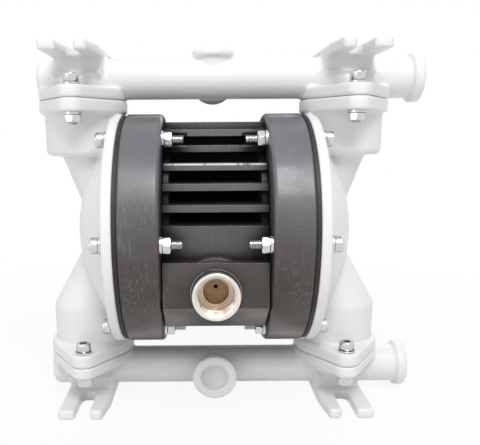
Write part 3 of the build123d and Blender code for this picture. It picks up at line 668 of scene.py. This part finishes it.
nut = hex_nut(NUT_FLATS, NUT, SCREW_R + 0.05)
bolt_low, bolt_high = (corner / MM for corner in extent("right_cover_bolts"))
head_seat = bolt_high[0] - HEAD
bolt = socket_screw(head_seat - bolt_low[0], BOLT_THREAD)
nut_face = extent("right_cover_nuts")[1][0] / MM
bolt_circle = (bolt_high[1] - bolt_low[1]) / 2 - HEAD_R
steps = np.arange(6) * math.pi / 3
spots = [(-bolt_circle * math.cos(a), axis_height / MM + bolt_circle * math.sin(a)) for a in steps]
for side, about in (("right", np.eye(3)), ("left", HALF_TURN)):
    bolts, nuts = [], []
    for y, z in spots:
        spun = about @ ALONG_X @ spin(chance.uniform(0, math.pi))
        bolts.append(place(bolt, spun, about @ (head_seat, y, z)))
        spun = about @ ALONG_X @ spin(math.pi / 2 + chance.uniform(-0.3, 0.3))
        nuts.append(place(nut, spun, about @ (nut_face, y, z)))
    stand_for(make_piece(f"{side}_cover_bolts_threaded", bolts), f"{side}_cover_bolts")
    stand_for(make_piece(f"{side}_cover_nuts_faceted", nuts), f"{side}_cover_nuts")

for level in ("outlet", "inlet"):
    low, high = (corner / MM for corner in extent(f"{level}_manifold_bolts"))
    nut_top = extent(f"{level}_manifold_nuts")[1][2] / MM
    bolt = socket_screw(high[2] - HEAD - low[2], TAB_THREAD)
    across, along = (low[0] + HEAD_R, high[0] - HEAD_R), (low[1] + HEAD_R, high[1] - HEAD_R)
    bolts, nuts = [], []
    for x, y in ((x, y) for x in across for y in along):
        bolts.append(place(bolt, spin(chance.uniform(0, 3)), (x, y, high[2] - HEAD)))
        nuts.append(place(nut, spin(chance.uniform(0, 3)), (x, y, nut_top)))
    stand_for(make_piece(f"{level}_manifold_bolts_threaded", bolts), f"{level}_manifold_bolts")
    stand_for(make_piece(f"{level}_manifold_nuts_faceted", nuts), f"{level}_manifold_nuts")
print("fasteners on, body bolts' heads", round(head_seat, 1), "mm from the middle")

# %% [markdown]
# The exhaust port is the piece that the eye goes to. Its rings run once round the wall of
# the bush: over the rim, down the thread, over a ledge, down the narrower bore, across the
# floor to a small vent that lies off centre, and back along the outside.

# %% The threaded exhaust insert
OUTWARDS = np.array([[1, 0, 0], [0, 0, -1], [0, 1, 0]], float)
RIM_R, RIM, BUSH_R = 15.2, 2.0, 13.9
PORT_R, ROOT_R, PORT_PITCH, LEDGE = 12.05, 13.1, 1.814, -13.0
BORE_R, FLOOR, VENT_R, VENT_AT = 8.2, -20.0, 1.4, (0.0, 2.2)
TUBE, BELLY_FRONT, STEPS_R = 15.6, -71.0, 24.0
SECTION = np.array([(-95, -5), (-71, -5), (-71, -41), (-45, -60.6), (-45, -66), (-95, -66)], float)
back = (insert_low[1] - insert_high[1]) / MM
mouth = [(RIM_R - 0.7, 0), (ROOT_R + 0.15, 0), (ROOT_R, -0.15), (PORT_R + 0.5, -0.9)]
rings = [ring(*profile) for profile in mouth]
rings += threaded(PORT_R, ROOT_R, -1.2, LEDGE, PORT_PITCH)
bore = [(PORT_R, LEDGE), (BORE_R + 1.1, LEDGE - 0.05), (BORE_R + 0.9, LEDGE - 0.3)]
bore += [(BORE_R + 0.9, LEDGE - 1.4), (BORE_R + 0.1, LEDGE - 1.6), (BORE_R, LEDGE - 2.0)]
bore += [(BORE_R, FLOOR + 0.4), (BORE_R - 0.5, FLOOR)]
rings += [ring(*profile) for profile in bore]
rings += [ring(VENT_R, FLOOR, VENT_AT), ring(VENT_R, back, VENT_AT)]
outside = [(BUSH_R, back), (BUSH_R, -RIM), (RIM_R, -RIM), (RIM_R, -0.8)]
outside += [(RIM_R - 0.12, -0.35), (RIM_R - 0.4, -0.08)]
rings += [ring(*profile) for profile in outside]
face = (0, insert_low[1] / MM, middle("exhaust_insert")[2] / MM)
port = make_piece("exhaust_insert_threaded", [place(stack(rings, loop=True), OUTWARDS, face)])
stand_for(port, "exhaust_insert")
print("insert of", len(port.data.polygons), "faces")

# %% [markdown]
# The bush sits in a slim plain tube. The block's broad steps round it go, as far as they
# stand in front of the lower body, and the tube takes their place. What is cut off is a
# prism along X, whose section follows the lower body's front just outside it.

# %% The tube of the port
block = merged_copy("centre_block")
block.name = "centre_block_dressed"
count = len(SECTION)
ends = [np.insert(SECTION + [-0.02, axis_height / MM], 0, x, axis=1) for x in (-STEPS_R, STEPS_R)]
first, after = np.arange(count), np.roll(np.arange(count), -1)
sides = np.stack([first, first + count, after + count, after], -1)
cut(block, "steps", [(np.vstack(ends), sides, [first, first[::-1] + count])])
block.data.polygons.foreach_set("use_smooth", np.zeros(len(block.data.polygons), bool))
stand_for(block, "centre_block")
front = BELLY_FRONT - face[1]
tube = [(BUSH_R + 0.1, -RIM), (BUSH_R + 0.1, -front - 2), (TUBE, -front - 2), (TUBE, -RIM - 0.4)]
rings = [ring(*profile) for profile in tube + [(TUBE - 0.12, -RIM - 0.12), (TUBE - 0.4, -RIM)]]
tube = make_piece("port_tube", [place(stack(rings, loop=True), OUTWARDS, face)])
tube.data.materials.append(BLACK)
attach(tube, body_of["centre_block"])
print("block of", len(block.data.polygons), "faces")

# %% [markdown]
# Each diaphragm is clamped at its rim and carried by the shaft at its middle, so it has to
# bend between the two. A blend follows a straight line, and this sheet bends from rim to
# middle all the way round. So the sheet is made in slices like a pie's, and the ends of each
# slice's middle line are found. Neighbours agree at the border that they share.

# %% Diaphragms in slices
SHEET, SCREW_HOLE_R, MEMBRANE_R = 2.5, 5.2, 62.5
FOLD_R, FOLD_HALF, SWELL = 48.0, 13.5, 6.0
SLICES, SLICE_STEPS = 12, 6
CORE_FROM, CORE_TO = -10.0, 20.0  # of the drum that is cut out of the solid, along the shaft
FOLD_CURVE = (FOLD_HALF**2 + SWELL**2) / (2 * SWELL)
plate_low, plate_high = extent("right_air_plate")
PLATE_R = (plate_high[2] - plate_low[2]) / 2 / MM


def fold(radius):
    """Height of the rolled fold: an arc of radius FOLD_CURVE that stands SWELL proud."""
    arc = np.sqrt(np.maximum(FOLD_CURVE**2 - (radius - FOLD_R) ** 2, 0))
    return np.maximum(arc + SWELL - FOLD_CURVE, 0)


def membrane_slice(from_angle, to_angle):
    """A closed profile of radius r and height h, turned about X: (h, r cos a, r sin a)."""
    out = np.concatenate([[SCREW_HOLE_R, 20.0], np.linspace(PLATE_R - 1, MEMBRANE_R, 40)])
    radius = np.concatenate([out, out[::-1]])
    height = np.concatenate([fold(out), fold(out[::-1]) + SHEET])
    angle = np.linspace(from_angle, to_angle, SLICE_STEPS + 1)[:, None]
    points = [height + 0 * angle, radius * np.cos(angle), radius * np.sin(angle)]
    count = len(radius)
    row, column = np.arange(SLICE_STEPS)[:, None] * count, np.arange(count)[None, :]
    after = (column + 1) % count
    corners = [row + column, row + after, row + count + after, row + count + column]
    loop = np.arange(count)
    caps = [loop[::-1], loop + SLICE_STEPS * count]
    return np.stack(points, -1).reshape(-1, 3), np.stack(corners, -1).reshape(-1, 4), caps


borders = np.arange(SLICES + 1) * 2 * math.pi / SLICES
still = MEMBRANE_R * math.cos(math.pi / SLICES) - 0.1
for side, about in (("right", np.eye(3)), ("left", HALF_TURN)):
    low, high = extent(f"{side}_diaphragm")
    sheet_face = (low[0] if side == "right" else high[0]) / MM
    rim = merged_copy(f"{side}_diaphragm")
    rim.name = f"{side}_diaphragm_rim"
    drum = stack([ring(MEMBRANE_R, CORE_FROM), ring(MEMBRANE_R, CORE_TO)])
    core = place(drum, about @ ALONG_X, (0, 0, 0))
    cut(rim, "core", [(core[0] / MM + [sheet_face, 0, axis_height / MM], *core[1:])])
    smooth_shade(rim.data)
    stand_for(rim, f"{side}_diaphragm")
    for number in range(SLICES):
        wedge = membrane_slice(borders[number], borders[number + 1])
        wedge = place(wedge, about, (sheet_face, 0, axis_height / MM))
        piece = make_piece(f"{side}_membrane_{number:02d}", [wedge])
        piece.data.materials.append(RUBBER)
        centre_line = (borders[number] + borders[number + 1]) / 2
        out = about @ (0, math.cos(centre_line), math.sin(centre_line)) * MM
        start, end = (r * out + np.array([0, 0, axis_height]) for r in (still, PLATE_R))
        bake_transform(piece)
    print(rim.name, len(rim.data.polygons), "faces and", SLICES, "slices")

# %% [markdown]
# The camera stands where the photographer's did, a little left of the pump and above its
# shaft. Its middle line leaves the picture's middle, so the lens is shifted, not turned.

# %% Camera
scene = bpy.context.scene
scene.view_settings.view_transform = "Standard"
PICTURE = (480, 445)
FOCAL_PX = 595.8
CENTRE_PX = (201.3, 259.4)
CAMERA_LEFT, CAMERA_AWAY, CAMERA_RISE = 0.0092, 0.4322, 0.0631
PITCH_DOWN, ROLL = math.radians(11.34), math.radians(-0.38)
camera = bpy.data.objects.new("camera", bpy.data.cameras.new("camera"))
bpy.context.collection.objects.link(camera)
camera.data.sensor_width = 36.0
camera.data.lens = FOCAL_PX / PICTURE[0] * 36.0
camera.data.shift_x = (PICTURE[0] / 2 - CENTRE_PX[0]) / PICTURE[0]
camera.data.shift_y = (CENTRE_PX[1] - PICTURE[1] / 2) / PICTURE[0]
camera.location = (-CAMERA_LEFT, -CAMERA_AWAY, axis_height + CAMERA_RISE)
camera.rotation_euler = (math.pi / 2 - PITCH_DOWN, 0, 0)
camera.rotation_euler.rotate_axis("Z", ROLL)
scene.camera = camera
print("lens", round(camera.data.lens, 2), "mm")

# %% [markdown]
# The light is a studio's: a wide soft panel above the pump and to the front, a weaker one
# from the left, one behind, and a pale room all round. The camera and shiny surfaces see
# that room as white, but it lights the pump more weakly, so that white plastic keeps its tones.

# %% Lights


def panel(name, at, aim, size, watts):
    """A soft square light that faces a point."""
    light = bpy.data.lights.new(name, "AREA")
    light.shape, light.size, light.energy = "SQUARE", size, watts
    lamp = bpy.data.objects.new(name, light)
    bpy.context.collection.objects.link(lamp)
    lamp.location = at
    away = np.array(at) - np.array(aim)
    tilt = math.atan2(math.hypot(away[0], away[1]), away[2])
    lamp.rotation_euler = (tilt, 0, math.atan2(away[1], away[0]) + math.pi / 2)


target = (0, 0, axis_height)
panel("overhead", (0.12, -0.80, 1.15), target, 0.6, 10.5)
panel("left_front", (-1.0, -0.9, 0.55), target, 0.8, 2.6)
panel("back", (0.5, 1.1, 0.9), target, 0.9, 3.5)
print("three panels")

# %% Room
ROOM_LIGHT = 0.50
world = bpy.data.worlds.new("room")
world.use_nodes = True
scene.world = world
tree = world.node_tree
path = tree.nodes.new("ShaderNodeLightPath")
seen = path.outputs["Is Camera Ray"]
for kind in ("Is Glossy Ray", "Is Transmission Ray"):
    either = tree.nodes.new("ShaderNodeMath")
    either.operation = "MAXIMUM"
    tree.links.new(seen, either.inputs[0])
    tree.links.new(path.outputs[kind], either.inputs[1])
    seen = either.outputs[0]
strength = tree.nodes.new("ShaderNodeMapRange")
strength.inputs["To Min"].default_value = ROOM_LIGHT
tree.links.new(seen, strength.inputs["Value"])
background = tree.nodes["Background"]
tree.links.new(strength.outputs[0], background.inputs["Strength"])
background.inputs["Color"].default_value = (1, 1, 1, 1)
print("the room lights at", ROOM_LIGHT)

# %% [markdown]
# The floor should vanish into the white room and still hold the pump's shadow. To the
# camera and to shiny surfaces most of its brightness is its own and the rest is light that
# falls on it. Away from the pump the share of its own rises until floor and room are one white.

# %% Floor
HALF = 4.0
NEAR_SHARE, FADE_FROM, FADE_TO = 0.90, 0.16, 0.60
corners = np.array([(-HALF, -HALF, 0), (HALF, -HALF, 0), (HALF, HALF, 0), (-HALF, HALF, 0)])
floor = make_piece("floor", [(corners, np.array([[0, 1, 2, 3]]), [])])
pale = Finish("pale_floor")
pale.color((0.80, 0.80, 0.80, 1))
pale.roughness(0.8)
glow = pale.add("ShaderNodeEmission", {}, {"Color": (1, 1, 1, 1), "Strength": 1.0})
rays = ("Is Camera Ray", "Is Glossy Ray", "Is Transmission Ray")
seen = sum(pale.add("ShaderNodeLightPath", {}, {}, ray) for ray in rays)
lit = Shade(pale, pale.shader.outputs[0])
away = pale.add("ShaderNodeVectorMath", {"operation": "LENGTH"}, {0: pale.place}, 1)
share = away.above(FADE_FROM, FADE_TO) * (1 - NEAR_SHARE) + NEAR_SHARE
surface = pale.add("ShaderNodeMixShader", {}, {0: seen * share, 1: lit, 2: glow})
pale.feed(pale.tree.nodes["Material Output"].inputs["Surface"], surface)
floor.data.materials.append(pale.material)
print("floor", 2 * HALF, "m wide")
